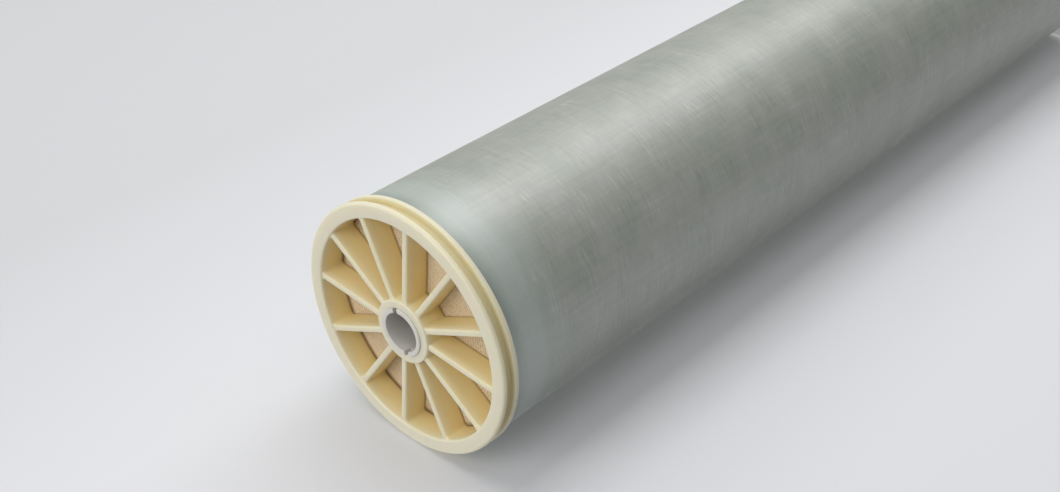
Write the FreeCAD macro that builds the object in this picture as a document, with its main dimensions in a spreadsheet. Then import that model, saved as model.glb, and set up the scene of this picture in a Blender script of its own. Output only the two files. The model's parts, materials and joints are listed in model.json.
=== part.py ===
# A spiral-wound nanofiltration membrane element for an 8 inch pressure vessel.
# It stands on the rim of its lower end cap, with its axis on Z and the plain end, the one
# without a brine seal, on top. Lengths are in millimetres and angles in degrees.
import FreeCAD, Part
import itertools
import math
import os

import Sketcher
from FreeCAD import Placement, Rotation, Vector

doc = FreeCAD.newDocument("membrane_element")

# Each driving dimension, with what it measures
DIMENSIONS = [
    ("element_length", 1016.0, "overall length, lower cap face to upper tube end"),
    ("tube_projection", 1.3, "upper tube end beyond the upper cap face"),
    ("tube_recess", 0.5, "lower tube end inside the lower cap face"),
    ("flange_radius", 100.5, "outside of both cap flanges"),
    ("flange_taper", 3.0, "front flange, how much smaller in radius at its face"),
    ("front_flange_width", 3.3, "front flange, along the axis"),
    ("groove_width", 8.1, "seal groove, along the axis"),
    ("groove_depth", 5.0, "seal groove, below the flanges"),
    ("rear_flange_width", 4.2, "rear flange, along the axis"),
    ("cap_depth", 21.5, "end cap from its face to its inner end"),
    ("rim_wall", 7.0, "cap rim, between its bore and the groove"),
    ("spoke_count", 12.0, "spokes of an end cap"),
    ("spoke_width", 5.0, "thickness of a spoke"),
    ("spoke_recess", 1.6, "spoke fronts below the cap face"),
    ("hub_wall", 6.25, "cap hub, round the permeate tube"),
    ("seal_bore_radius", 15.8, "machined bore at each end of the permeate tube"),
    ("seal_bore_depth", 90.0, "length of a machined bore"),
    ("seal_bore_step", 0.8, "rest of the tube's bore, smaller in radius than its machined ends"),
    ("tube_wall", 3.5, "permeate tube at its machined ends"),
    ("notch_width", 4.4, "drive notch in a tube end, across"),
    ("notch_depth", 6.5, "drive notch in a tube end, along the axis"),
    ("notch_angle", 21.0, "drive notches, from the spoke on X"),
    ("port_width", 2.4, "permeate slot through the tube wall, across"),
    ("port_length", 9.0, "permeate slot through the tube wall, along the axis"),
    ("port_count", 4.0, "permeate slots in each of the tube's two rows"),
    ("port_pitch", 200.0, "distance between permeate slots along the tube"),
    ("carrier_thickness", 1.2, "permeate carrier wound on the tube"),
    ("leaf_count", 7.0, "membrane leaves, each with a feed spacer beside it"),
    ("leaf_thickness", 8.6, "membrane leaf, across"),
    ("spacer_thickness", 7.5, "feed spacer, across"),
    ("spacer_recess", 0.8, "feed spacers below the ends of the leaves"),
    ("wrap_step", 2.85, "fibreglass wrap, how much smaller in radius than the flanges"),
    ("wrap_thickness", 2.0, "fibreglass wrap"),
    ("scroll_gap", 1.3, "end cap to the end of the roll"),
    ("bond_gap", 0.05, "bond line between pieces that are glued or wound together"),
    ("seal_leg", 1.6, "inner leg of the brine seal, across"),
    ("seal_valley", 4.6, "depth of the valley between the two legs"),
    ("seal_heel", 4.6, "closed side of the brine seal, across"),
    ("seal_reach", 1.9, "free lip of the brine seal beyond the flanges"),
    ("seal_play", 0.4, "brine seal to each side of its groove"),
]

sheet = doc.addObject("Spreadsheet::Sheet", "Sizes")
for row, (alias, number, meaning) in enumerate(DIMENSIONS, start=1):
    sheet.set(f"A{row}", meaning)
    sheet.set(f"B{row}", str(number))
    sheet.setAlias(f"B{row}", alias)
doc.recompute()

# Sizes that follow from the driving ones, written once and used wherever pieces meet
GROOVE_RADIUS = "(Sizes.flange_radius - Sizes.groove_depth)"
RIM_BORE = f"({GROOVE_RADIUS} - Sizes.rim_wall)"
REAR_FLANGE = "(Sizes.front_flange_width + Sizes.groove_width)"
FLANGE_END = f"({REAR_FLANGE} + Sizes.rear_flange_width)"
WRAP_RADIUS = "(Sizes.flange_radius - Sizes.wrap_step)"
WRAP_INNER = f"({WRAP_RADIUS} - Sizes.wrap_thickness)"
SKIRT_RADIUS = f"({WRAP_INNER} - Sizes.bond_gap)"
TUBE_RADIUS = "(Sizes.seal_bore_radius + Sizes.tube_wall)"
TUBE_BORE = "(Sizes.seal_bore_radius - Sizes.seal_bore_step)"
CARRIER_INNER = f"({TUBE_RADIUS} + Sizes.bond_gap)"
CARRIER_OUTER = f"({CARRIER_INNER} + Sizes.carrier_thickness)"
HUB_BORE = f"({TUBE_RADIUS} + Sizes.bond_gap)"
HUB_RADIUS = f"({HUB_BORE} + Sizes.hub_wall)"
LIP_RADIUS = "(Sizes.flange_radius + Sizes.seal_reach)"
UPPER_FACE = "(Sizes.element_length - Sizes.tube_projection)"
SCROLL_START = "(Sizes.cap_depth + Sizes.scroll_gap)"
SCROLL_LENGTH = f"({UPPER_FACE} - 2 * {SCROLL_START})"
WRAP_START = f"({FLANGE_END} + Sizes.bond_gap)"
WRAP_LENGTH = f"({UPPER_FACE} - 2 * {WRAP_START})"


def number(expression):
    """The value of a size or of a formula of sizes."""
    return float(sheet.evalExpression(expression))


def plane(body, role):
    """One of the body's own origin planes."""
    return next(feature for feature in body.Origin.OriginFeatures if feature.Role == role)


def new_body(label):
    body = doc.addObject("PartDesign::Body", label)
    body.Label = label
    return body


def new_sketch(body, name, role, height=None):
    """A sketch on an origin plane, lifted by height along the plane's normal."""
    sketch = body.newObject("Sketcher::SketchObject", name)
    sketch.AttachmentSupport = [(plane(body, role), "")]
    sketch.MapMode = "FlatFace"
    if height is not None:
        sketch.setExpression("AttachmentOffset.Base.z", height)
    return sketch


def pin_point(sketch, line, end, across, along):
    """Ties one end of a sketch line to its two coordinates, each a formula of sizes."""
    for kind, axis, formula in (("DistanceX", -2, across), ("DistanceY", -1, along)):
        if formula == "0":
            sketch.addConstraint(Sketcher.Constraint("PointOnObject", line, end, axis))
            continue
        index = sketch.addConstraint(Sketcher.Constraint(kind, -1, 1, line, end, number(formula)))
        sketch.setExpression(f"Constraints[{index}]", formula)


def closed_outline(sketch, points):
    """Straight lines from point to point and back to the first, every point tied to sizes."""
    corners = [Vector(number(across), number(along), 0) for across, along in points]
    first = sketch.GeometryCount
    for start, end in zip(corners, corners[1:] + corners[:1]):
        sketch.addGeometry(Part.LineSegment(start, end))
    last = sketch.GeometryCount - 1
    for line in range(first, last + 1):
        following = line + 1 if line < last else first
        sketch.addConstraint(Sketcher.Constraint("Coincident", line, 2, following, 1))
    for line, (across, along) in zip(range(first, last + 1), points):
        pin_point(sketch, line, 1, across, along)


def circle(sketch, radius):
    """A circle about the sketch's origin."""
    index = sketch.addGeometry(Part.Circle(Vector(0, 0, 0), Vector(0, 0, 1), number(radius)))
    sketch.addConstraint(Sketcher.Constraint("Coincident", index, 3, -1, 1))
    size = sketch.addConstraint(Sketcher.Constraint("Radius", index, number(radius)))
    sketch.setExpression(f"Constraints[{size}]", radius)


def revolve(body, name, points):
    """A solid of revolution about Z from a half section of (radius, height) points."""
    sketch = new_sketch(body, name + "_section", "XZ_Plane")
    closed_outline(sketch, points)
    turned = body.newObject("PartDesign::Revolution", name)
    turned.Profile = sketch
    turned.ReferenceAxis = (sketch, ["V_Axis"])
    turned.Angle = 360
    doc.recompute()
    return turned


def ring(label, inner, outer, start, length):
    """A plain tube about Z."""
    body = new_body(label)
    sketch = new_sketch(body, label + "_section", "XY_Plane", start)
    circle(sketch, inner)
    circle(sketch, outer)
    pad = body.newObject("PartDesign::Pad", label + "_wall")
    pad.Profile = sketch
    pad.setExpression("Length", length)
    doc.recompute()
    return body


def cut_through(body, name, sketch):
    """A pocket that runs right through the body, both ways from its sketch."""
    before = body.Shape.Volume
    pocket = body.newObject("PartDesign::Pocket", name)
    pocket.Profile = sketch
    pocket.Type = "ThroughAll"
    pocket.Midplane = True
    doc.recompute()
    if body.Shape.Volume >= before:
        raise RuntimeError(f"{name} cuts nothing from {body.Label}")
    return pocket


# End cap: a moulded ring with two flanges and a seal groove between them, a skirt that the
# wrap grips, a hub round the tube, and thin deep spokes that keep the roll from telescoping.
# Its face is at height 0 and the rest lies below.
def end_cap(label):
    body = new_body(label)
    revolve(
        body,
        label + "_rim",
        [
            (RIM_BORE, "0"),
            ("Sizes.flange_radius - Sizes.flange_taper", "0"),
            ("Sizes.flange_radius", "-Sizes.front_flange_width"),
            (GROOVE_RADIUS, "-Sizes.front_flange_width"),
            (GROOVE_RADIUS, "-" + REAR_FLANGE),
            ("Sizes.flange_radius", "-" + REAR_FLANGE),
            ("Sizes.flange_radius", "-" + FLANGE_END),
            (SKIRT_RADIUS, "-" + FLANGE_END),
            (SKIRT_RADIUS, "-Sizes.cap_depth"),
            (RIM_BORE, "-Sizes.cap_depth"),
        ],
    )
    sketch = new_sketch(body, label + "_spoke_section", "XY_Plane", "-Sizes.spoke_recess")
    inner_end = f"(({HUB_BORE} + {HUB_RADIUS}) / 2)"
    outer_end = f"(({RIM_BORE} + {GROOVE_RADIUS}) / 2)"
    closed_outline(
        sketch,
        [
            (inner_end, "-Sizes.spoke_width / 2"),
            (outer_end, "-Sizes.spoke_width / 2"),
            (outer_end, "Sizes.spoke_width / 2"),
            (inner_end, "Sizes.spoke_width / 2"),
        ],
    )
    spoke = body.newObject("PartDesign::Pad", label + "_spoke")
    spoke.Profile = sketch
    spoke.setExpression("Length", "Sizes.cap_depth - Sizes.spoke_recess")
    spoke.Reversed = True
    doc.recompute()
    spokes = body.newObject("PartDesign::PolarPattern", label + "_spokes")
    spokes.Originals = [spoke]
    spokes.Axis = (sketch, ["N_Axis"])
    spokes.Angle = 360
    spokes.setExpression("Occurrences", "Sizes.spoke_count")
    body.Tip = spokes
    doc.recompute()
    revolve(
        body,
        label + "_hub",
        [
            (HUB_BORE, "0"),
            (HUB_RADIUS, "0"),
            (HUB_RADIUS, "-Sizes.cap_depth"),
            (HUB_BORE, "-Sizes.cap_depth"),
        ],
    )
    return body


upper_end_cap = end_cap("upper_end_cap")
upper_end_cap.setExpression("Placement.Base.z", UPPER_FACE)
lower_end_cap = end_cap("lower_end_cap")
lower_end_cap.Placement = Placement(Vector(0, 0, 0), Rotation(Vector(1, 0, 0), 180))


# Permeate tube: a perforated tube whose ends are bored out for the vessel's seals and
# notched on two opposite sides. It is turned about Z so that its notches lie as they should.
def permeate_tube():
    body = new_body("permeate_tube")
    top = "Sizes.element_length"
    bottom = "Sizes.tube_recess"
    revolve(
        body,
        "tube_wall",
        [
            ("Sizes.seal_bore_radius", bottom),
            (TUBE_RADIUS, bottom),
            (TUBE_RADIUS, top),
            ("Sizes.seal_bore_radius", top),
            ("Sizes.seal_bore_radius", f"{top} - Sizes.seal_bore_depth"),
            (TUBE_BORE, f"{top} - Sizes.seal_bore_depth"),
            (TUBE_BORE, f"{bottom} + Sizes.seal_bore_depth"),
            ("Sizes.seal_bore_radius", f"{bottom} + Sizes.seal_bore_depth"),
        ],
    )
    notches = new_sketch(body, "notch_outlines", "YZ_Plane")
    for end, floor in (
        (top, f"{top} - Sizes.notch_depth"),
        (bottom, f"{bottom} + Sizes.notch_depth"),
    ):
        closed_outline(
            notches,
            [
                ("-Sizes.notch_width / 2", end),
                ("-Sizes.notch_width / 2", floor),
                ("Sizes.notch_width / 2", floor),
                ("Sizes.notch_width / 2", end),
            ],
        )
    cut_through(body, "drive_notches", notches)
    cut_permeate_slots(body)
    body.Placement = Placement(Vector(0, 0, 0), Rotation(Vector(0, 0, 1), number("Sizes.notch_angle")))
    return body


def cut_permeate_slots(body):
    """Two opposite rows of slots through the tube wall, centred on the middle of the roll."""
    middle = f"({SCROLL_START} + {SCROLL_LENGTH} / 2)"
    slots = int(number("Sizes.port_count"))
    sketch = new_sketch(body, "permeate_slot_outlines", "XZ_Plane")
    for slot in range(slots):
        height = f"({middle} + ({slot} - ({slots} - 1) / 2) * Sizes.port_pitch)"
        closed_outline(
            sketch,
            [
                ("-Sizes.port_width / 2", f"{height} - Sizes.port_length / 2"),
                ("Sizes.port_width / 2", f"{height} - Sizes.port_length / 2"),
                ("Sizes.port_width / 2", f"{height} + Sizes.port_length / 2"),
                ("-Sizes.port_width / 2", f"{height} + Sizes.port_length / 2"),
            ],
        )
    cut_through(body, "permeate_slots", sketch)


permeate_tube()

# Wound layers that are plain tubes: the permeate carrier next to the tube, and the
# fibreglass wrap that holds the roll closed and grips both caps
ring("permeate_carrier_wrap", CARRIER_INNER, CARRIER_OUTER, SCROLL_START, SCROLL_LENGTH)
ring("fibreglass_wrap", WRAP_INNER, WRAP_RADIUS, WRAP_START, WRAP_LENGTH)


# The roll: leaves and feed spacers lie side by side and wind out together. Each face of a
# layer is the involute of a small regular polygon with one corner for each leaf, so it is a
# chain of arcs about those corners, and the next leaf is the same shape one corner on.
def layer_section(inner_offset, outer_offset):
    """The face of one wound layer between the carrier and the fibreglass wrap."""
    leaves = int(number("Sizes.leaf_count"))
    gap = number("Sizes.bond_gap")
    pitch = number("Sizes.leaf_thickness + Sizes.spacer_thickness") + 2 * gap
    half_turn = math.pi / leaves
    corner_radius = pitch / (2 * math.sin(half_turn))
    first_radius = number(CARRIER_OUTER) + gap
    last_radius = number(WRAP_INNER) - gap

    def place(radius, angle):
        return Vector(radius * math.cos(angle), radius * math.sin(angle), 0)

    def face_arcs(offset):
        """The arcs of one face, from the first radius to the last, and its two ends."""
        arcs = []
        for step in itertools.count():
            corner = 2 * half_turn * step
            radius = offset + step * pitch
            spread = [corner - math.pi / 2 - half_turn, corner - math.pi / 2 + half_turn]
            reach = [(place(corner_radius, corner) + place(radius, a)).Length for a in spread]
            if reach[1] <= first_radius:
                continue
            if reach[0] >= last_radius:
                return arcs
            for side, limit in ((0, first_radius), (1, last_radius)):
                if reach[0] < limit < reach[1]:
                    cosine = (limit**2 - corner_radius**2 - radius**2) / (2 * corner_radius * radius)
                    spread[side] = corner - math.acos(cosine)
            angles = (spread[0], (spread[0] + spread[1]) / 2, spread[1])
            arcs.append([place(corner_radius, corner) + place(radius, a) for a in angles])

    def rim_arc(start, end):
        """An arc about the axis that closes a layer at the carrier or the wrap."""
        middle = start + end
        middle.normalize()
        return Part.Arc(start, middle * start.Length, end)

    inner = face_arcs(inner_offset)
    outer = face_arcs(outer_offset)
    edges = [Part.Arc(*arc).toShape() for arc in outer]
    edges.append(rim_arc(outer[-1][2], inner[-1][2]).toShape())
    edges += [Part.Arc(*reversed(arc)).toShape() for arc in reversed(inner)]
    edges.append(rim_arc(inner[0][0], outer[0][0]).toShape())
    return Part.Face(Part.Wire(edges))


def wind(kind, inner_offset, outer_offset, recess):
    """One solid for each leaf, each turned one polygon corner further about the axis."""
    section = doc.addObject("Part::Feature", kind + "_section")
    section.Shape = layer_section(inner_offset, outer_offset)
    for index in range(int(number("Sizes.leaf_count"))):
        label = f"{kind}_{index + 1}"
        layer = doc.addObject("Part::Extrusion", label)
        layer.Label = label
        layer.Base = section
        layer.DirMode = "Custom"
        layer.Dir = Vector(0, 0, 1)
        layer.Solid = True
        layer.setExpression("LengthFwd", f"{SCROLL_LENGTH} - 2 * {recess}")
        layer.setExpression("Placement.Base.z", f"{SCROLL_START} + {recess}")
        layer.Placement.Rotation = Rotation(Vector(0, 0, 1), 360 * index / number("Sizes.leaf_count"))


leaf_outer = number("Sizes.leaf_thickness")
spacer_inner = leaf_outer + number("Sizes.bond_gap")
spacer_outer = spacer_inner + number("Sizes.spacer_thickness")
wind("membrane_leaf", 0.0, leaf_outer, "0")
wind("feed_spacer", spacer_inner, spacer_outer, "Sizes.spacer_recess")


# Brine seal: a rubber U-cup in the lower cap's groove, open towards the feed at that end
def brine_seal():
    body = new_body("brine_seal")
    inner = f"({GROOVE_RADIUS} + Sizes.bond_gap)"
    lower = "(Sizes.front_flange_width + Sizes.seal_play)"
    upper = f"({REAR_FLANGE} - Sizes.seal_play)"
    revolve(
        body,
        "seal_cup",
        [
            (inner, lower),
            (f"{inner} + Sizes.seal_leg", f"{lower} + Sizes.seal_valley"),
            (LIP_RADIUS, lower),
            (f"{inner} + Sizes.seal_heel", upper),
            (inner, upper),
        ],
    )


brine_seal()
doc.recompute()

# Every object must have recomputed, and every sub-part must be one sound solid
failed = [obj.Name for obj in doc.Objects if "Invalid" in obj.State or "Error" in obj.State]
if failed:
    raise RuntimeError(f"failed to recompute: {failed}")

SUB_PART_TYPES = ("PartDesign::Body", "Part::Extrusion")
sub_parts = [obj for obj in doc.Objects if obj.TypeId in SUB_PART_TYPES]
for sub_part in sub_parts:
    shape = sub_part.Shape
    if shape.isNull() or not shape.isValid() or len(shape.Solids) != 1:
        raise RuntimeError(f"{sub_part.Label} isn't one valid solid")

os.makedirs("parts", exist_ok=True)
for sub_part in sub_parts:
    sub_part.Shape.exportStep(f"parts/{sub_part.Label}.step")
    print(f"{sub_part.Label}: {sub_part.Shape.Volume / 1000:.1f} cm3")
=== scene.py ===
# The looks of a spiral-wound nanofiltration membrane element: cream moulded end caps, a
# grey-white permeate tube, a fibreglass wrap, the fine edges of the rolled leaves and a
# rubber brine seal. The element stands on its lower cap, with its axis on Z.
import json
import math

import bmesh
import bpy
from mathutils import Matrix, Vector


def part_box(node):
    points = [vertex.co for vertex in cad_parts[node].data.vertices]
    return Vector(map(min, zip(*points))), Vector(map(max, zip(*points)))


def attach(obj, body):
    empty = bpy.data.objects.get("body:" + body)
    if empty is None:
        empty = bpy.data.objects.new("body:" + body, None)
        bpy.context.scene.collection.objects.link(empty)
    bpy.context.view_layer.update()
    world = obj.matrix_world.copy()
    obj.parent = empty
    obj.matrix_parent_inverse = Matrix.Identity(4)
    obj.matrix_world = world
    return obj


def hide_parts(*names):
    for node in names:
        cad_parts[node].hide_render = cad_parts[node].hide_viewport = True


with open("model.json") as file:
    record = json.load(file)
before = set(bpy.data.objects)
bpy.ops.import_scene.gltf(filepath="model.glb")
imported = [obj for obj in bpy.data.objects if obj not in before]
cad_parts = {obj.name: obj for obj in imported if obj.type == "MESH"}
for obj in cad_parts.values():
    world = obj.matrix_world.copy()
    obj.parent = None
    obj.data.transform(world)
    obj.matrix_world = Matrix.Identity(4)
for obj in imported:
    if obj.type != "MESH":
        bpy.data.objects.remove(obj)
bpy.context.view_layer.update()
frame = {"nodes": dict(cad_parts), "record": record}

MM = 0.001
BODY = "root"

# Sizes that the frame gives, in metres
UPPER_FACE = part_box("upper_end_cap")[1].z
LOWER_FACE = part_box("lower_end_cap")[0].z
FLANGE_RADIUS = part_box("upper_end_cap")[1].x
WRAP_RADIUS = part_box("fibreglass_wrap")[1].x
WRAP_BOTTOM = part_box("fibreglass_wrap")[0].z
WRAP_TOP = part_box("fibreglass_wrap")[1].z
TUBE_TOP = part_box("permeate_tube")[1].z
TUBE_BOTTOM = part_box("permeate_tube")[0].z
ROLL_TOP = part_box("membrane_leaf_1")[1].z
ROLL_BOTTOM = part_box("membrane_leaf_1")[0].z
MOUNTS = {mount["name"]: mount for mount in frame["record"]["mounts"]}
SEAL_BORE_RADIUS = MOUNTS["upper_permeate_port"]["dims"]["r_mm"] * MM
SEAL_BORE_DEPTH = MOUNTS["upper_permeate_port"]["dims"]["length_mm"] * MM
GROOVE_RADIUS = MOUNTS["seal_groove"]["dims"]["r_mm"] * MM
GROOVE_WIDTH = MOUNTS["seal_groove"]["dims"]["length_mm"] * MM
REAR_FLANGE_WIDTH = MOUNTS["vessel_guide"]["dims"]["length_mm"] * MM

# Sizes that follow from those of the frame
GLUE_GAP = 0.05 * MM
TUBE_WALL = 3.5 * MM
HUB_WALL = 6.25 * MM
RIM_WALL = 7.0 * MM
WRAP_WALL = 2.0 * MM
ROLL_CLEARANCE = 0.7 * MM
TUBE_RADIUS = SEAL_BORE_RADIUS + TUBE_WALL
HUB_BORE = TUBE_RADIUS + GLUE_GAP
HUB_RADIUS = HUB_BORE + HUB_WALL
RIM_BORE = GROOVE_RADIUS - RIM_WALL
WRAP_INNER = WRAP_RADIUS - WRAP_WALL
SKIRT_RADIUS = WRAP_INNER - GLUE_GAP
CAP_DEPTH = UPPER_FACE - ROLL_TOP - ROLL_CLEARANCE

# Sizes of the caps
FRONT_FLANGE_WIDTH = 3.3 * MM
SPOKES = 12
SPOKE_WIDTH = 5.0 * MM
SPOKE_RECESS = 1.6 * MM

# Roundings of the moulded cap
SPOKE_EDGE = 1.5 * MM
RIM_INNER_EDGE = 1.6 * MM
HUB_EDGE = 1.3 * MM
FRONT_FLANGE_EDGE = 2.6 * MM
REAR_FLANGE_EDGE = 1.3 * MM
FRONT_FLANGE_BACK_EDGE = 0.3 * MM
GROOVE_ROOT = 0.8 * MM
HUB_BORE_EDGE = 0.45 * MM
RIM_ROOT = 2.4 * MM
HUB_ROOT = 1.6 * MM
# Keeps a rounding a hair shorter than its side, so that no edge has zero length
ALMOST = 0.999

# Faces round the turned pieces, and the angle in degrees above which an edge stays sharp
TUBE_SEGMENTS = 160
WRAP_SEGMENTS = 360
SEAL_SEGMENTS = 288
EDGE_SEGMENTS = 300
SHARP_ANGLE = 32
EDGE_SHARP_ANGLE = 60


# Meshes from rows of points
class Shell:
    """Quads between rows of points, welded into one mesh at the end."""

    def __init__(self):
        self.points = []
        self.faces = []

    def grid(self, rows, closed=False):
        """Faces between neighbouring rows. Closed rows run round to their first point."""
        first = len(self.points)
        width = len(rows[0])
        for row in rows:
            self.points.extend(row)
        last = width if closed else width - 1
        for upper in range(len(rows) - 1):
            for column in range(last):
                beside = (column + 1) % width
                a = first + upper * width
                b = a + width
                self.faces.append((a + column, a + beside, b + beside, b + column))

    def piece(self, name, weld=0.002 * MM, sharp=SHARP_ANGLE):
        """The welded mesh as an object, smooth but for edges sharper than the angle."""
        mesh = bpy.data.meshes.new(name)
        mesh.from_pydata(self.points, [], self.faces)
        work = bmesh.new()
        work.from_mesh(mesh)
        bmesh.ops.remove_doubles(work, verts=work.verts, dist=weld)
        bmesh.ops.dissolve_degenerate(work, edges=work.edges, dist=weld)
        bmesh.ops.recalc_face_normals(work, faces=work.faces)
        work.to_mesh(mesh)
        work.free()
        mesh.shade_smooth()
        mesh.set_sharp_from_angle(angle=math.radians(sharp))
        made = bpy.data.objects.new(name, mesh)
        bpy.context.scene.collection.objects.link(made)
        return made


def spread(start, end, count):
    """Evenly spaced numbers from start to end, both included."""
    return [start + (end - start) * step / (count - 1) for step in range(count)]


def softened(corners, steps=6):
    """An open outline whose inner corners, given as (across, along, rounding), are arcs."""
    outline = [Vector(corners[0][:2])]
    for before, corner, after in zip(corners, corners[1:], corners[2:]):
        point = Vector(corner[:2])
        rounding = corner[2]
        if rounding == 0:
            outline.append(point)
            continue
        back = (Vector(before[:2]) - point).normalized()
        ahead = (Vector(after[:2]) - point).normalized()
        half = back.angle(ahead) / 2
        centre = point + (back + ahead).normalized() * rounding / math.sin(half)
        start = point + back * rounding / math.tan(half) - centre
        end = point + ahead * rounding / math.tan(half) - centre
        turn = start.angle_signed(end)
        outline += [centre + Matrix.Rotation(-turn * part, 2) @ start for part in spread(0, 1, steps)]
    outline.append(Vector(corners[-1][:2]))
    return [tuple(point) for point in outline]


def circle_row(radius, height, angles):
    return [(radius * math.cos(a), radius * math.sin(a), height) for a in angles]


def around(count):
    """Angles once round the axis, without the last that meets the first."""
    return [2 * math.pi * step / count for step in range(count)]


def lathe(name, outline, count):
    """A closed outline of (radius, height) points turned about Z."""
    shell = Shell()
    angles = around(count)
    shell.grid([circle_row(r, z, angles) for r, z in outline + outline[:1]], closed=True)
    return shell.piece(name)


# End cap. A cap is made face up with depths below its face, then put in its place.
def rounded_depth(inset, edge):
    """How far a rounded edge lies below its face at this distance from the side."""
    if inset >= edge:
        return 0.0
    return edge - math.sqrt(edge**2 - (edge - inset) ** 2)


def spoke_rows():
    """A spoke along X as rows of (x, y, inset) from the hub to the rim."""
    half = SPOKE_WIDTH / 2
    fillet_steps = 7
    straight_steps = 14
    edge_steps = 6
    hub_x = math.sqrt((HUB_RADIUS + HUB_ROOT) ** 2 - (half + HUB_ROOT) ** 2)
    hub_turn = math.atan2(half + HUB_ROOT, hub_x)
    rim_x = math.sqrt((RIM_BORE - RIM_ROOT) ** 2 - (half + RIM_ROOT) ** 2)
    rim_turn = math.atan2(half + RIM_ROOT, rim_x)
    sides = []
    for a in spread(-math.pi + hub_turn, -math.pi / 2, fillet_steps):
        x = hub_x + HUB_ROOT * math.cos(a)
        start = HUB_RADIUS * math.cos(hub_turn)
        middle = HUB_RADIUS + (hub_x - HUB_RADIUS) * (x - start) / (hub_x - start)
        sides.append((x, half + HUB_ROOT * (1 + math.sin(a)), middle))
    for x in spread(hub_x, rim_x, straight_steps)[1:-1]:
        sides.append((x, half, x))
    for a in spread(-math.pi / 2, rim_turn, fillet_steps):
        x = rim_x + RIM_ROOT * math.cos(a)
        end = RIM_BORE * math.cos(rim_turn)
        middle = rim_x + (RIM_BORE - rim_x) * (x - rim_x) / (end - rim_x)
        sides.append((x, half + RIM_ROOT * (1 + math.sin(a)), middle))
    insets = [SPOKE_EDGE * (1 - math.cos(a)) for a in spread(0, math.pi / 2, edge_steps)]
    rows = []
    for side_x, side_y, middle in sides:
        row = []
        for inset in insets:
            y = side_y - inset
            row.append((middle + (side_x - middle) * (y / side_y) ** 2, y, inset))
        row.append((middle, 0.0, side_y))
        row += [(x, -y, inset) for x, y, inset in reversed(row[:-1])]
        rows.append(row)
    for row, radius in ((rows[0], HUB_RADIUS), (rows[-1], RIM_BORE)):
        row[:] = [(math.sqrt(radius**2 - y**2), y, inset) for x, y, inset in row]
    return [row[::-1] for row in rows]


def cap_shell():
    """One cap with its face up at height 0."""
    shell = Shell()
    rows = spoke_rows()
    wall_top = SPOKE_RECESS + SPOKE_EDGE
    wall_rows = 5
    hub_steps = 7
    rim_steps = 18
    wall_depths = spread(wall_top, CAP_DEPTH, wall_rows)
    step = 2 * math.pi / SPOKES
    root = {
        "hub": [math.atan2(y, x) for x, y, inset in rows[0]],
        "rim": [math.atan2(y, x) for x, y, inset in rows[-1]],
    }
    between = {
        "hub": spread(root["hub"][-1], step + root["hub"][0], hub_steps),
        "rim": spread(root["rim"][-1], step + root["rim"][0], rim_steps),
    }

    def turned(point, angle):
        x, y, z = point
        return (
            x * math.cos(angle) - y * math.sin(angle),
            x * math.sin(angle) + y * math.cos(angle),
            z,
        )

    for spoke in range(SPOKES):
        angle = step * spoke

        def grid(points):
            shell.grid([[turned(point, angle) for point in row] for row in points])

        front = [
            [(x, y, -SPOKE_RECESS - rounded_depth(inset, SPOKE_EDGE)) for x, y, inset in row]
            for row in rows
        ]
        grid(front)
        grid([[(x, y, -CAP_DEPTH) for x, y, inset in row] for row in rows])
        for side in (0, -1):
            grid([[(row[side][0], row[side][1], -depth) for row in rows] for depth in wall_depths])
        grid([circle_row(RIM_BORE, -RIM_INNER_EDGE, root["rim"]), front[-1]])
        grid([circle_row(HUB_RADIUS, -HUB_EDGE, root["hub"]), front[0]])
        grid([circle_row(RIM_BORE, -d, between["rim"]) for d in [RIM_INNER_EDGE] + wall_depths])
        grid([circle_row(HUB_RADIUS, -d, between["hub"]) for d in [HUB_EDGE] + wall_depths])

    groove_start = FRONT_FLANGE_WIDTH
    groove_end = groove_start + GROOVE_WIDTH
    flange_end = groove_end + REAR_FLANGE_WIDTH
    rim_outline = softened(
        [
            (RIM_BORE, -RIM_INNER_EDGE),
            (RIM_BORE, 0, RIM_INNER_EDGE * ALMOST),
            (FLANGE_RADIUS, 0, FRONT_FLANGE_EDGE),
            (FLANGE_RADIUS, -groove_start, FRONT_FLANGE_BACK_EDGE),
            (GROOVE_RADIUS, -groove_start, GROOVE_ROOT),
            (GROOVE_RADIUS, -groove_end, GROOVE_ROOT),
            (FLANGE_RADIUS, -groove_end, REAR_FLANGE_EDGE),
            (FLANGE_RADIUS, -flange_end, REAR_FLANGE_EDGE),
            (SKIRT_RADIUS, -flange_end, 0),
            (SKIRT_RADIUS, -CAP_DEPTH, 0),
            (RIM_BORE, -CAP_DEPTH),
        ]
    )
    hub_outline = softened(
        [
            (HUB_RADIUS, -HUB_EDGE),
            (HUB_RADIUS, 0, HUB_EDGE * ALMOST),
            (HUB_BORE, 0, HUB_BORE_EDGE),
            (HUB_BORE, -CAP_DEPTH, 0),
            (HUB_RADIUS, -CAP_DEPTH),
        ]
    )
    for outline, part in ((rim_outline, "rim"), (hub_outline, "hub")):
        angles = []
        for spoke in range(SPOKES):
            angles += [step * spoke + a for a in root[part] + between[part][1:-1]]
        shell.grid([circle_row(r, z, angles) for r, z in outline], closed=True)
    return shell


def end_cap(name, node, place):
    shell = cap_shell()
    shell.points = [place @ Vector(point) for point in shell.points]
    cap = shell.piece(name)
    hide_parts(node)
    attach(cap, BODY)
    return cap


# Permeate tube, with softened ends, its machined bores, notches and slots
TUBE_EDGE = 0.5 * MM
BORE_STEP = 0.8 * MM
NOTCH_ANGLE = math.radians(21)
NOTCH_WIDTH = 4.4 * MM
NOTCH_DEPTH = 6.5 * MM
SLOT_WIDTH = 2.4 * MM
SLOT_LENGTH = 9.0 * MM
SLOT_PITCH = 200 * MM
SLOTS = 4


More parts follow.
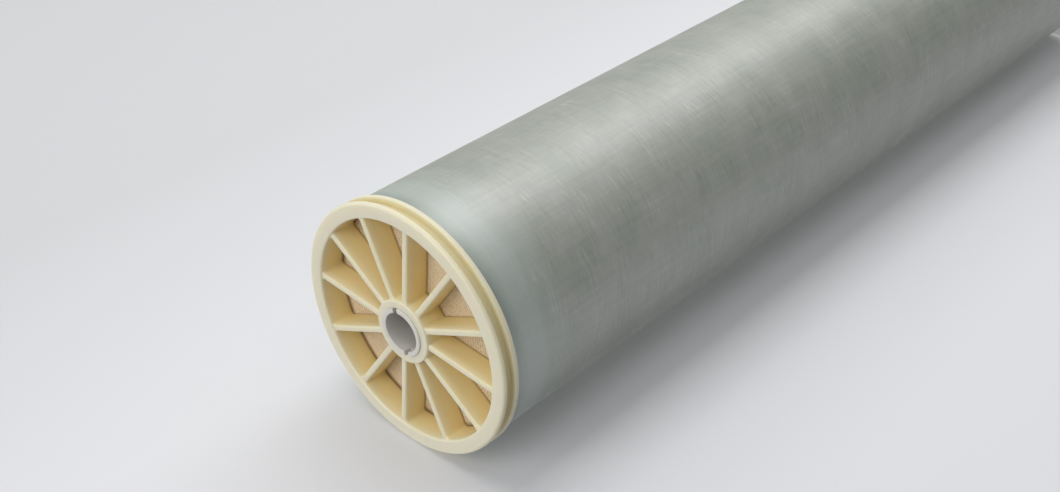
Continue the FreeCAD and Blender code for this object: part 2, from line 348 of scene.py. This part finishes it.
def permeate_tube():
    bore = SEAL_BORE_RADIUS - BORE_STEP
    outline = softened(
        [
            (bore, (TUBE_TOP + TUBE_BOTTOM) / 2),
            (bore, TUBE_TOP - SEAL_BORE_DEPTH, 0),
            (SEAL_BORE_RADIUS, TUBE_TOP - SEAL_BORE_DEPTH, 0),
            (SEAL_BORE_RADIUS, TUBE_TOP, TUBE_EDGE),
            (TUBE_RADIUS, TUBE_TOP, TUBE_EDGE),
            (TUBE_RADIUS, TUBE_BOTTOM, TUBE_EDGE),
            (SEAL_BORE_RADIUS, TUBE_BOTTOM, TUBE_EDGE),
            (SEAL_BORE_RADIUS, TUBE_BOTTOM + SEAL_BORE_DEPTH, 0),
            (bore, TUBE_BOTTOM + SEAL_BORE_DEPTH, 0),
            (bore, (TUBE_TOP + TUBE_BOTTOM) / 2),
        ],
        steps=5,
    )
    tube = lathe("permeate_tube_finished", outline[:-1], TUBE_SEGMENTS)
    cutters = [notch_cutter(TUBE_TOP), notch_cutter(TUBE_BOTTOM)]
    cutters += [slot_cutter(height) for height in slot_heights()]
    for cutter in cutters:
        cut = tube.modifiers.new("cut", "BOOLEAN")
        cut.operation = "DIFFERENCE"
        cut.solver = "MANIFOLD"
        cut.object = cutter
    bake_modifiers(tube)
    for cutter in cutters:
        bpy.data.objects.remove(cutter)
    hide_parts("permeate_tube")
    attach(tube, BODY)
    return tube


def bake_modifiers(piece):
    """Applies all modifiers to the piece's mesh."""
    bpy.context.view_layer.update()
    result = piece.evaluated_get(bpy.context.evaluated_depsgraph_get())
    mesh = bpy.data.meshes.new_from_object(result)
    piece.modifiers.clear()
    piece.data = mesh
    mesh.shade_smooth()
    mesh.set_sharp_from_angle(angle=math.radians(SHARP_ANGLE))


def slot_heights():
    middle = (ROLL_TOP + ROLL_BOTTOM) / 2
    return [middle + (slot - (SLOTS - 1) / 2) * SLOT_PITCH for slot in range(SLOTS)]


def block(name, size, centre, turn):
    """A plain block used only to cut with."""
    mesh = bpy.data.meshes.new(name)
    work = bmesh.new()
    bmesh.ops.create_cube(work, size=1)
    place = Matrix.Rotation(turn, 4, "Z") @ Matrix.Translation(centre) @ Matrix.Diagonal((*size, 1))
    bmesh.ops.transform(work, matrix=place, verts=work.verts)
    work.to_mesh(mesh)
    work.free()
    made = bpy.data.objects.new(name, mesh)
    bpy.context.scene.collection.objects.link(made)
    made.hide_render = True
    return made


def notch_cutter(end):
    size = (3 * TUBE_RADIUS, NOTCH_WIDTH, 2 * NOTCH_DEPTH)
    return block("notch_cutter", size, (0, 0, end), NOTCH_ANGLE)


def slot_cutter(height):
    size = (SLOT_WIDTH, 3 * TUBE_RADIUS, SLOT_LENGTH)
    return block("slot_cutter", size, (0, 0, height), NOTCH_ANGLE)


# Fibreglass wrap, with the faint steps where its smooth end bands stop
def fibreglass_wrap():
    band = 32 * MM
    second_band = 54 * MM
    lip = 0.35 * MM
    step = 0.12 * MM
    slope = 0.5 * MM
    rows = 60
    corners = [
        (WRAP_INNER, WRAP_BOTTOM),
        (WRAP_RADIUS - step, WRAP_BOTTOM, lip),
        (WRAP_RADIUS - step, WRAP_BOTTOM + band - slope, 0),
        (WRAP_RADIUS - step / 2, WRAP_BOTTOM + band, 0),
        (WRAP_RADIUS - step / 2, WRAP_BOTTOM + second_band - slope, 0),
        (WRAP_RADIUS, WRAP_BOTTOM + second_band, 0),
    ]
    heights = spread(WRAP_BOTTOM + second_band, WRAP_TOP - second_band, rows)
    corners += [(WRAP_RADIUS, z, 0) for z in heights[1:-1]]
    corners += [
        (WRAP_RADIUS, WRAP_TOP - second_band, 0),
        (WRAP_RADIUS - step / 2, WRAP_TOP - second_band + slope, 0),
        (WRAP_RADIUS - step / 2, WRAP_TOP - band, 0),
        (WRAP_RADIUS - step, WRAP_TOP - band + slope, 0),
        (WRAP_RADIUS - step, WRAP_TOP, lip),
        (WRAP_INNER, WRAP_TOP),
    ]
    wrap = lathe("fibreglass_wrap_finished", softened(corners), WRAP_SEGMENTS)
    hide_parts("fibreglass_wrap")
    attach(wrap, BODY)
    return wrap


# Brine seal, a rubber U-cup whose valley opens towards the end of the element
def brine_seal():
    low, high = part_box("brine_seal")
    lip = high.x
    inner = GROOVE_RADIUS + GLUE_GAP
    outline = softened(
        [
            (inner, (low.z + high.z) / 2),
            (inner, low.z, 0.35 * MM),
            (inner + 0.9 * MM, low.z, 0.35 * MM),
            (inner + 1.7 * MM, low.z + 4.4 * MM, 0.6 * MM),
            (lip - 0.9 * MM, low.z, 0.25 * MM),
            (lip, low.z, 0.3 * MM),
            (inner + 4.6 * MM, high.z, 0.8 * MM),
            (inner, high.z, 0.5 * MM),
            (inner, (low.z + high.z) / 2),
        ]
    )
    seal = lathe("brine_seal_finished", outline[:-1], SEAL_SEGMENTS)
    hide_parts("brine_seal")
    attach(seal, BODY)
    return seal


# Fine edges of the rolled leaves, which stand just proud of the solid leaves' ends
EDGE_PITCH = 2.45 * MM
EDGE_MARGIN = 2.0 * MM
EDGE_START = HUB_BORE + EDGE_MARGIN
EDGE_LIFT = 0.12
# One ridge, as shares of the pitch and heights in mm
EDGE_PROFILE = (
    (0.00, 0.00),
    (0.30, 0.05),
    (0.38, 0.42),
    (0.50, 0.50),
    (0.62, 0.42),
    (0.70, 0.05),
)


def leaf_edges(name, end, outward):
    """Spiral ridges over the end of the roll, as seen through a cap's windows."""
    turns = int((SKIRT_RADIUS - EDGE_MARGIN - EDGE_START) / EDGE_PITCH) - 1
    shell = Shell()
    rows = []
    for turn in range(turns):
        for phase, height in EDGE_PROFILE:
            rows.append([])
            for column in range(EDGE_SEGMENTS + 1):
                share = column / EDGE_SEGMENTS
                radius = EDGE_START + EDGE_PITCH * (turn + phase + share)
                angle = 2 * math.pi * share
                level = end + outward * (EDGE_LIFT + height) * MM
                rows[-1].append((radius * math.cos(angle), radius * math.sin(angle), level))
    shell.grid(rows)
    edges = shell.piece(name, sharp=EDGE_SHARP_ANGLE)
    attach(edges, BODY)
    return edges


# Colours of the materials, in linear light
WHITE = (1, 1, 1)
CAP_PALE = (0.84, 0.80, 0.61)
# Painted shade: warmer, yellower cream deeper in the groove and windows
CAP_WARM_PAINTED_SHADE = (0.87, 0.785, 0.50)
CAP_DEEP_PAINTED_SHADE = (0.895, 0.75, 0.385)
# Painted shade on the flange's outer sides
CAP_SIDE_PAINTED_SHADE = (0.85, 0.85, 0.83)
# Painted shade at the bottom of the windows
CAP_BOTTOM_PAINTED_SHADE = (0.82, 0.74, 0.57)
# Brown painted shadow where the windows' walls meet the roll
CAP_SEAM_PAINTED_SHADOW = (0.66, 0.53, 0.38)
TUBE_GREY = (0.72, 0.695, 0.62)
TUBE_PALE = (0.78, 0.755, 0.68)
# Painted shade for the bore and notches
TUBE_PAINTED_SHADE = (0.33, 0.31, 0.285)
WRAP_DARK = (0.150, 0.169, 0.133)
WRAP_GREY = (0.242, 0.257, 0.212)
WRAP_PALE = (0.342, 0.357, 0.30)
WRAP_BAND = (0.268, 0.318, 0.276)
OLIVE_TINT = (0.92, 0.975, 0.885)
PALE_TINT = (1.02, 1.01, 1)
BAND_DARK_TINT = (0.93, 0.95, 0.92)
BAND_PALE_TINT = (1.05, 1.04, 1.04)
# Painted shade next to the caps, darker and a little greener
WRAP_END_PAINTED_SHADE = (0.55, 0.62, 0.56)
WRAP_NEAR_END_PAINTED_SHADE = (0.72, 0.79, 0.73)
FILM_EDGE = (0.93, 0.83, 0.63)
FILM_SIDE = (0.62, 0.47, 0.29)
# Painted shade on the roll's end by the cap's rim
FILM_RIM_PAINTED_SHADE = (0.30, 0.19, 0.10)
NETTING = (0.84, 0.69, 0.47)
NET_TINT = (0.80, 0.75, 0.70)
RUBBER_BLACK = (0.012, 0.012, 0.013)
RUBBER_GREY = (0.022, 0.022, 0.024)
CLOTH_GREY = (0.68, 0.67, 0.63)
CLOTH_PALE = (0.78, 0.77, 0.73)

# Height of the fine grain that bump mapping gives the plastic and rubber
GRAIN_HEIGHT = 0.05 * MM


def material(name, roughness, specular=0.5):
    made = bpy.data.materials.new(name)
    made.use_nodes = True
    shader = made.node_tree.nodes["Principled BSDF"]
    shader.inputs["Roughness"].default_value = roughness
    shader.inputs["Specular IOR Level"].default_value = specular
    return made, shader


class Nodes:
    """Short names for adding nodes to one material."""

    def __init__(self, made):
        self.tree = made.node_tree

    def add(self, kind, **settings):
        node = self.tree.nodes.new(kind)
        for key, value in settings.items():
            setattr(node, key, value)
        return node

    def link(self, source, target):
        self.tree.links.new(source, target)

    def math(self, operation, first, second=None):
        node = self.add("ShaderNodeMath", operation=operation)
        for socket, value in zip(node.inputs, (first, second)):
            if value is None:
                continue
            if isinstance(value, (int, float)):
                socket.default_value = value
            else:
                self.link(value, socket)
        return node.outputs[0]

    def product(self, first, second):
        return self.math("MULTIPLY", first, second)

    def sum(self, first, second):
        return self.math("ADD", first, second)

    def place(self):
        return self.add("ShaderNodeTexCoord").outputs["Object"]

    def axes(self, place):
        """The X, Y and Z parts of a place."""
        split = self.add("ShaderNodeSeparateXYZ")
        self.link(place, split.inputs[0])
        return split.outputs

    def from_end(self, place, low, high):
        """Distance along Z from the nearer of two ends."""
        off = self.math("ABSOLUTE", self.math("SUBTRACT", self.axes(place)["Z"], (low + high) / 2))
        return self.math("SUBTRACT", (high - low) / 2, off)

    def radius(self, place):
        """Distance from the Z axis."""
        node = self.add("ShaderNodeVectorMath", operation="LENGTH")
        self.link(self.scaled(place, (1, 1, 0)), node.inputs[0])
        return node.outputs["Value"]

    def scaled(self, vector, scale):
        node = self.add("ShaderNodeVectorMath", operation="MULTIPLY")
        self.link(vector, node.inputs[0])
        node.inputs[1].default_value = scale
        return node.outputs[0]

    def slanted(self, vector, tilt):
        """The vector turned by two small angles, about X and about Y."""
        node = self.add("ShaderNodeVectorRotate", rotation_type="EULER_XYZ")
        self.link(vector, node.inputs["Vector"])
        node.inputs["Rotation"].default_value = (*tilt, 0)
        return node.outputs[0]

    def noise(self, vector, scale, detail=4.0, roughness=0.55):
        """Cloudy noise. The scale is one number, or one for each axis."""
        if isinstance(scale, tuple):
            vector = self.scaled(vector, scale)
            scale = 1
        node = self.add("ShaderNodeTexNoise")
        self.link(vector, node.inputs["Vector"])
        node.inputs["Scale"].default_value = scale
        node.inputs["Detail"].default_value = detail
        node.inputs["Roughness"].default_value = roughness
        return node.outputs["Fac"]

    def ramp(self, source, stops):
        node = self.add("ShaderNodeValToRGB")
        self.link(source, node.inputs["Fac"])
        elements = node.color_ramp.elements
        while len(elements) < len(stops):
            elements.new(0.5)
        for element, (position, colour) in zip(elements, stops):
            element.position = position
            element.color = (*colour, 1)
        return node.outputs["Color"]

    def ranged(self, source, low, high, to_low=0, to_high=1):
        """The source's share of the way from low to high, between two new limits."""
        node = self.add("ShaderNodeMapRange")
        self.link(source, node.inputs["Value"])
        limits = {"From Min": low, "From Max": high, "To Min": to_low, "To Max": to_high}
        for name, value in limits.items():
            node.inputs[name].default_value = value
        return node.outputs["Result"]

    def mixed(self, share, first, second, blend="MIX"):
        node = self.add("ShaderNodeMix", data_type="RGBA", blend_type=blend)
        sockets = (node.inputs[0], node.inputs[6], node.inputs[7])
        for socket, value in zip(sockets, (share, first, second)):
            if isinstance(value, (int, float)):
                socket.default_value = value
            elif isinstance(value, tuple):
                socket.default_value = (*value, 1)
            else:
                self.link(value, socket)
        return node.outputs[2]

    def tinted(self, share, shade, tint):
        """The shade, times the tint as far as the share says."""
        return self.mixed(share, shade, tint, "MULTIPLY")

    def bump(self, height, strength, distance, shader):
        node = self.add("ShaderNodeBump")
        self.link(height, node.inputs["Height"])
        node.inputs["Strength"].default_value = strength
        node.inputs["Distance"].default_value = distance
        self.link(node.outputs["Normal"], shader.inputs["Normal"])


def cap_material():
    """Cream plastic, pale on its faces. Painted shade: yellower in recesses, brown by the roll,
    greyer on flange sides.
    """
    made, shader = material("cap_plastic", 0.4)
    nodes = Nodes(made)
    place = nodes.place()
    depth = nodes.from_end(place, LOWER_FACE, UPPER_FACE)
    radius = nodes.radius(place)
    in_groove = (FLANGE_RADIUS - 0.5 * MM, FLANGE_RADIUS - 3 * MM)
    in_windows = (GROOVE_RADIUS - 0.5 * MM, GROOVE_RADIUS - 2 * MM)
    groove = nodes.ranged(radius, *in_groove, 0, 0.5)
    windows = nodes.ranged(radius, *in_windows, 0, 0.5)
    below_face = nodes.ranged(depth, 0.8 * MM, 11 * MM)
    # Painted shade: the groove and windows turn warmer and yellower below the face
    recess_shade = nodes.product(below_face, nodes.sum(groove, windows))
    cloud = nodes.ranged(nodes.noise(place, 30, 3), 0.3, 0.7, -0.04, 0.04)
    stops = [(0.0, CAP_PALE), (0.3, CAP_WARM_PAINTED_SHADE), (1.0, CAP_DEEP_PAINTED_SHADE)]
    shade = nodes.ramp(nodes.sum(recess_shade, cloud), stops)
    # Painted shade: darker towards the bottom of the windows
    bottom_shade = nodes.ranged(depth, 13 * MM, CAP_DEPTH)
    shade = nodes.tinted(nodes.product(bottom_shade, windows), shade, CAP_BOTTOM_PAINTED_SHADE)
    # Painted shadow: a brown line along the foot of the windows' walls, by the roll
    seam_shadow = nodes.ranged(depth, CAP_DEPTH - 2.0 * MM, CAP_DEPTH - 0.3 * MM, 0, 2)
    shade = nodes.tinted(nodes.product(seam_shadow, windows), shade, CAP_SEAM_PAINTED_SHADOW)
    # Painted shade: the flange's outer sides, below the face's edge, a little greyer
    side_shade = nodes.ranged(radius, GROOVE_RADIUS - 1 * MM, GROOVE_RADIUS)
    below_edge = nodes.ranged(depth, 0.3 * MM, 1.4 * MM)
    shade = nodes.tinted(nodes.product(side_shade, below_edge), shade, CAP_SIDE_PAINTED_SHADE)
    nodes.link(shade, shader.inputs["Base Color"])
    shader.inputs["Subsurface Weight"].default_value = 0.5
    shader.inputs["Subsurface Radius"].default_value = (1.0, 0.7, 0.3)
    shader.inputs["Subsurface Scale"].default_value = 4 * MM
    nodes.bump(nodes.noise(place, 1400, 2), 0.2, GRAIN_HEIGHT, shader)
    return made


def tube_material():
    """Grey-white plastic, with faint turning marks, and painted shade in its bore and notches."""
    made, shader = material("tube_plastic", 0.4)
    nodes = Nodes(made)
    place = nodes.place()
    lines = nodes.noise(place, (30, 30, 1500), 2)
    shade = nodes.ramp(lines, [(0.3, TUBE_GREY), (0.7, TUBE_PALE)])
    depth = nodes.from_end(place, TUBE_BOTTOM, TUBE_TOP)
    # Painted shade: darker deeper in the bore and notches
    below_edge = nodes.ranged(depth, 0.35 * MM, 1.2 * MM)
    deeper = nodes.ranged(depth, 0.5 * MM, 30 * MM, 0.3, 0.7)
    shade = nodes.mixed(nodes.product(below_edge, deeper), shade, TUBE_PAINTED_SHADE)
    nodes.link(shade, shader.inputs["Base Color"])
    nodes.bump(lines, 0.2, GRAIN_HEIGHT, shader)
    return made


def winding(nodes, place, cloud):
    """Pale and dark streaks round the wrap, stronger in patches, with threads along it."""
    coarse = nodes.noise(nodes.slanted(place, (0.05, -0.03)), (48, 48, 640), 3, 0.6)
    fine = nodes.noise(nodes.slanted(place, (-0.04, 0.05)), (100, 100, 1100), 3, 0.6)
    threads = nodes.noise(place, (320, 320, 14), 4, 0.6)
    patches = nodes.ranged(nodes.noise(place, (30, 30, 46), 2), 0.36, 0.64, 0.12, 0.40)
    streaks = nodes.math("SUBTRACT", nodes.sum(coarse, fine), 1)
    streaks = nodes.sum(nodes.product(streaks, patches), 0.30)
    streaks = nodes.sum(streaks, nodes.product(threads, 0.22))
    return nodes.sum(streaks, nodes.product(cloud, 0.22))


def wrap_material():
    """Resin over glass: short winding streaks, smooth bluish bands near the ends, and painted shade
    by the caps.
    """
    made, shader = material("fibreglass", 0.46, 1.0)
    shader.inputs["IOR"].default_value = 2.0
    nodes = Nodes(made)
    place = nodes.place()
    depth = nodes.from_end(place, WRAP_BOTTOM, WRAP_TOP)
    cloud = nodes.noise(place, (24, 24, 34), 3, 0.6)
    streaks = winding(nodes, place, cloud)
    wound = nodes.ramp(streaks, [(0.41, WRAP_DARK), (0.59, WRAP_GREY), (0.7, WRAP_PALE)])
    wound = nodes.tinted(1, wound, nodes.ramp(cloud, [(0.38, OLIVE_TINT), (0.62, PALE_TINT)]))
    faint = nodes.ramp(streaks, [(0.42, BAND_DARK_TINT), (0.58, BAND_PALE_TINT)])
    band = nodes.tinted(1, WRAP_BAND, faint)
    uneven = nodes.product(nodes.math("SUBTRACT", cloud, 0.5), 9 * MM)
    past_band = nodes.math("DIVIDE", nodes.sum(depth, uneven), 60 * MM)
    greys = [(0.46, (0.12,) * 3), (0.58, (0.62,) * 3), (0.84, (0.75,) * 3), (0.95, WHITE)]
    share = nodes.ramp(past_band, greys)
    # Painted shade: the wrap darker and greener within about 13 mm of each end
    end_shade = nodes.math("DIVIDE", depth, 20 * MM)
    end_shade = nodes.ramp(end_shade, [(0.0, WRAP_END_PAINTED_SHADE), (0.3, WRAP_NEAR_END_PAINTED_SHADE), (0.65, WHITE)])
    wall = nodes.tinted(1, nodes.mixed(share, band, wound), end_shade)
    nodes.link(wall, shader.inputs["Base Color"])
    nodes.bump(nodes.product(streaks, share), 0.5, 0.1 * MM, shader)
    return made


def leaf_material():
    """Beige film with the spacers' netting between its edges, and painted shade by the cap's rim."""
    made, shader = material("membrane_film", 0.6)
    nodes = Nodes(made)
    place = nodes.place()
    axes = nodes.axes(place)
    radius = nodes.radius(place)
    turned = nodes.math("DIVIDE", nodes.math("ARCTAN2", axes["Y"], axes["X"]), 2 * math.pi)
    turns = nodes.math("DIVIDE", nodes.math("SUBTRACT", radius, EDGE_START), EDGE_PITCH)
    phase = nodes.math("FRACT", nodes.math("SUBTRACT", turns, turned))
    stripes = nodes.ramp(
        phase,
        [
            (0.0, NETTING),
            (0.28, NETTING),
            (0.36, FILM_SIDE),
            (0.42, FILM_EDGE),
            (0.58, FILM_EDGE),
            (0.64, FILM_SIDE),
            (0.72, NETTING),
            (1.0, NETTING),
        ],
    )
    net = nodes.noise(place, 620, 2)
    netted = nodes.tinted(0.75, stripes, nodes.ramp(net, [(0.38, NET_TINT), (0.6, WHITE)]))
    # Painted shade: the roll's end turns dark brown just inside the cap's rim
    rim_shade = nodes.ranged(radius, RIM_BORE - 4 * MM, RIM_BORE - 0.5 * MM, 0, 0.85)
    nodes.link(nodes.mixed(rim_shade, netted, FILM_RIM_PAINTED_SHADE), shader.inputs["Base Color"])
    nodes.bump(net, 0.5, 0.3 * MM, shader)
    return made


def seal_material():
    """Black rubber."""
    made, shader = material("seal_rubber", 0.5)
    nodes = Nodes(made)
    grain = nodes.noise(nodes.place(), 900, 3)
    shade = nodes.ramp(grain, [(0.3, RUBBER_BLACK), (0.7, RUBBER_GREY)])
    nodes.link(shade, shader.inputs["Base Color"])
    nodes.bump(grain, 0.25, GRAIN_HEIGHT, shader)
    return made


def cloth_material():
    """Pale woven cloth of the permeate carrier."""
    made, shader = material("carrier_cloth", 0.8)
    nodes = Nodes(made)
    grain = nodes.noise(nodes.place(), 1500, 2)
    shade = nodes.ramp(grain, [(0.3, CLOTH_GREY), (0.7, CLOTH_PALE)])
    nodes.link(shade, shader.inputs["Base Color"])
    return made


def coat(piece, made):
    piece.data.materials.clear()
    piece.data.materials.append(made)


# Camera at the photo's viewing angle, with the element's upright axis across the picture
VIEW_POINT = Vector((0.6361, -0.5416, 1.5255))
VIEW_AHEAD = Vector((-0.5977, 0.5150, -0.6146))
VIEW_RIGHT = Vector((0.0575, -0.7370, -0.6735))
PHOTO_UP = Vector((0.99697, 0.07782, 0.0))
PHOTO_SIDE = Vector((0.07782, -0.99697, 0.0))
AXIS = Vector((0, 0, 1))
LENS = 46.17
SENSOR = 36.0


def facing(right, up, back, point):
    """A place at the point, with these three directions as its X, Y and Z."""
    return Matrix.Translation(point) @ Matrix((right, up, back)).transposed().to_4x4()


def add_camera():
    data = bpy.data.cameras.new("camera")
    data.lens = LENS
    data.sensor_fit = "HORIZONTAL"
    data.sensor_width = SENSOR
    camera = bpy.data.objects.new("camera", data)
    back = -VIEW_AHEAD.normalized()
    up = back.cross(VIEW_RIGHT.normalized()).normalized()
    camera.matrix_world = facing(up.cross(back), up, back, VIEW_POINT)
    bpy.context.scene.collection.objects.link(camera)
    bpy.context.scene.camera = camera


# Stage: a floor, and a wall for the surface that the photo's element lies on
BACKGROUND = (0.70, 0.71, 0.72)
FLOOR_PAINT = (0.80, 0.805, 0.813)
WALL_PAINT = (0.712, 0.719, 0.732)
WALL_PAINT_FAR = (0.608, 0.611, 0.618)
WALL_PAINT_CHANGE = (0.12, 0.45)
WALL_GAP = 0.3 * MM
FLOOR_GAP = 0.5 * MM
FLOOR_REACH = 6
WALL_REACH = 4
WALL_HEIGHT_REACH = 3
WALL_MIDDLE = 1.0
FADE_CENTRE = (0, 0, 0.6)
FLOOR_FADE = (0.69, 1.08)
WALL_FADE = (1.2, 2.2)


def plane(name, centre, across, along):
    mesh = bpy.data.meshes.new(name)
    near = centre - along
    far = centre + along
    corners = [near - across, near + across, far + across, far - across]
    mesh.from_pydata(corners, [], [(0, 1, 2, 3)])
    made = bpy.data.objects.new(name, mesh)
    bpy.context.scene.collection.objects.link(made)
    return made


def one_sided(name, shown, shown_in_gloss, fade):
    """Shows a shader on the front of a plane to the camera, fading far from the element.

    All other rays pass through.
    """
    made, shader = material(name, 0.9, 0.1)
    nodes = Nodes(made)
    rays = nodes.add("ShaderNodeLightPath")
    geometry = nodes.add("ShaderNodeNewGeometry")
    clear = nodes.add("ShaderNodeBsdfTransparent")
    mixer = nodes.add("ShaderNodeMixShader")
    seen = rays.outputs["Is Camera Ray"]
    if shown_in_gloss:
        seen = nodes.math("MAXIMUM", seen, rays.outputs["Is Glossy Ray"])
    front = nodes.math("SUBTRACT", 1.0, geometry.outputs["Backfacing"])
    reach = nodes.add("ShaderNodeVectorMath", operation="DISTANCE")
    nodes.link(nodes.place(), reach.inputs[0])
    reach.inputs[1].default_value = FADE_CENTRE
    near = nodes.ranged(reach.outputs["Value"], *fade, 1, 0)
    nodes.link(nodes.product(nodes.product(seen, front), near), mixer.inputs[0])
    nodes.link(clear.outputs[0], mixer.inputs[1])
    shown(nodes, shader)
    nodes.link(shader.outputs[0], mixer.inputs[2])
    nodes.link(mixer.outputs[0], made.node_tree.nodes["Material Output"].inputs["Surface"])
    return made


def wall_paint(nodes, shader):
    """Pale grey, a little deeper on the far side, where the lamps are near."""
    far = nodes.ranged(nodes.axes(nodes.place())["Y"], *WALL_PAINT_CHANGE)
    nodes.link(nodes.mixed(far, WALL_PAINT, WALL_PAINT_FAR), shader.inputs["Base Color"])


def floor_paint(nodes, shader):
    """Pale grey."""
    shader.inputs["Base Color"].default_value = (*FLOOR_PAINT, 1)


def add_stage():
    """The floor under the element, and the wall that touches its flanges."""
    across = Vector((FLOOR_REACH, 0, 0))
    along = Vector((0, FLOOR_REACH, 0))
    floor = plane("floor", -AXIS * FLOOR_GAP, across, along)
    coat(floor, one_sided("floor_paint", floor_paint, False, FLOOR_FADE))
    touch = -PHOTO_UP * (FLANGE_RADIUS + WALL_GAP)
    middle = touch + AXIS * WALL_MIDDLE
    wall = plane("backdrop", middle, -PHOTO_SIDE * WALL_REACH, AXIS * WALL_HEIGHT_REACH)
    coat(wall, one_sided("backdrop_paint", wall_paint, True, WALL_FADE))


# Light: a plain fill from all round, long softboxes and two broad lamps
FILL_COLOUR = (0.975, 0.975, 1.03)
FILL_STRENGTH = 0.35
STRIP = (0.75, 3.7)
STRIP_CENTRE = Vector((0, 0, -0.15))
FRONT_SIZE = (3.2, 3.2)
FRONT_CENTRE = Vector((0, 0, 0.75))
BACK_SIZE = (1.2, 3.0)
BACK_CENTRE = Vector((0, 0, 0.3))


def add_world():
    """The fill, and the background that the camera sees."""
    world = bpy.data.worlds.new("studio")
    bpy.context.scene.world = world
    world.use_nodes = True
    tree = world.node_tree
    rays = tree.nodes.new("ShaderNodeLightPath")
    mixer = tree.nodes.new("ShaderNodeMixShader")
    fill = tree.nodes["Background"]
    fill.inputs["Color"].default_value = (*FILL_COLOUR, 1)
    fill.inputs["Strength"].default_value = FILL_STRENGTH
    seen = tree.nodes.new("ShaderNodeBackground")
    seen.inputs["Color"].default_value = (*BACKGROUND, 1)
    tree.links.new(rays.outputs["Is Camera Ray"], mixer.inputs[0])
    tree.links.new(fill.outputs[0], mixer.inputs[1])
    tree.links.new(seen.outputs[0], mixer.inputs[2])
    tree.links.new(mixer.outputs[0], tree.nodes["World Output"].inputs["Surface"])


def area_light(name, direction, distance, size, power, centre):
    """A rectangular softbox that looks at centre from this direction."""
    data = bpy.data.lights.new(name, "AREA")
    data.shape = "RECTANGLE"
    data.size, data.size_y = size
    data.energy = power
    lamp = bpy.data.objects.new(name, data)
    towards = direction.normalized()
    right = AXIS.cross(towards).normalized()
    upward = towards.cross(right)
    lamp.matrix_world = facing(right, upward, towards, centre + towards * distance)
    bpy.context.scene.collection.objects.link(lamp)


def add_lights():
    """Softboxes over the element, a lamp for the end in view, and one for the back."""
    overhead = PHOTO_UP - PHOTO_SIDE * 0.16
    overhead_far = PHOTO_UP - PHOTO_SIDE * 0.67
    far_side = PHOTO_UP * 0.34 - PHOTO_SIDE
    near_side = PHOTO_UP + PHOTO_SIDE * 0.4
    front = PHOTO_UP * 0.52 + AXIS * 0.85
    back = -PHOTO_UP - PHOTO_SIDE * 0.5
    area_light("overhead", overhead, 1.6, STRIP, 19, STRIP_CENTRE)
    area_light("overhead_far", overhead_far, 1.6, STRIP, 8.5, STRIP_CENTRE)
    area_light("far_side", far_side, 1.8, STRIP, 5.4, STRIP_CENTRE)
    area_light("near_side", near_side, 1.8, STRIP, 4.8, STRIP_CENTRE)
    area_light("front", front, 5.0, FRONT_SIZE, 98, FRONT_CENTRE)
    area_light("back", back, 2.2, BACK_SIZE, 26, BACK_CENTRE)


cap = cap_material()
face_up = Matrix.Translation((0, 0, UPPER_FACE))
coat(end_cap("upper_end_cap_finished", "upper_end_cap", face_up), cap)
turned_over = Matrix.Translation((0, 0, LOWER_FACE)) @ Matrix.Rotation(math.pi, 4, "X")
coat(end_cap("lower_end_cap_finished", "lower_end_cap", turned_over), cap)
coat(permeate_tube(), tube_material())
coat(fibreglass_wrap(), wrap_material())
coat(brine_seal(), seal_material())
film = leaf_material()
coat(leaf_edges("leaf_edges_upper", ROLL_TOP, 1), film)
coat(leaf_edges("leaf_edges_lower", ROLL_BOTTOM, -1), film)
cloth = cloth_material()
for name, node in frame["nodes"].items():
    if name.startswith(("membrane_leaf", "feed_spacer")):
        coat(node, film)
    if name.startswith("permeate_carrier"):
        coat(node, cloth)

add_camera()
add_stage()
add_world()
add_lights()
bpy.context.scene.view_settings.view_transform = "Standard"
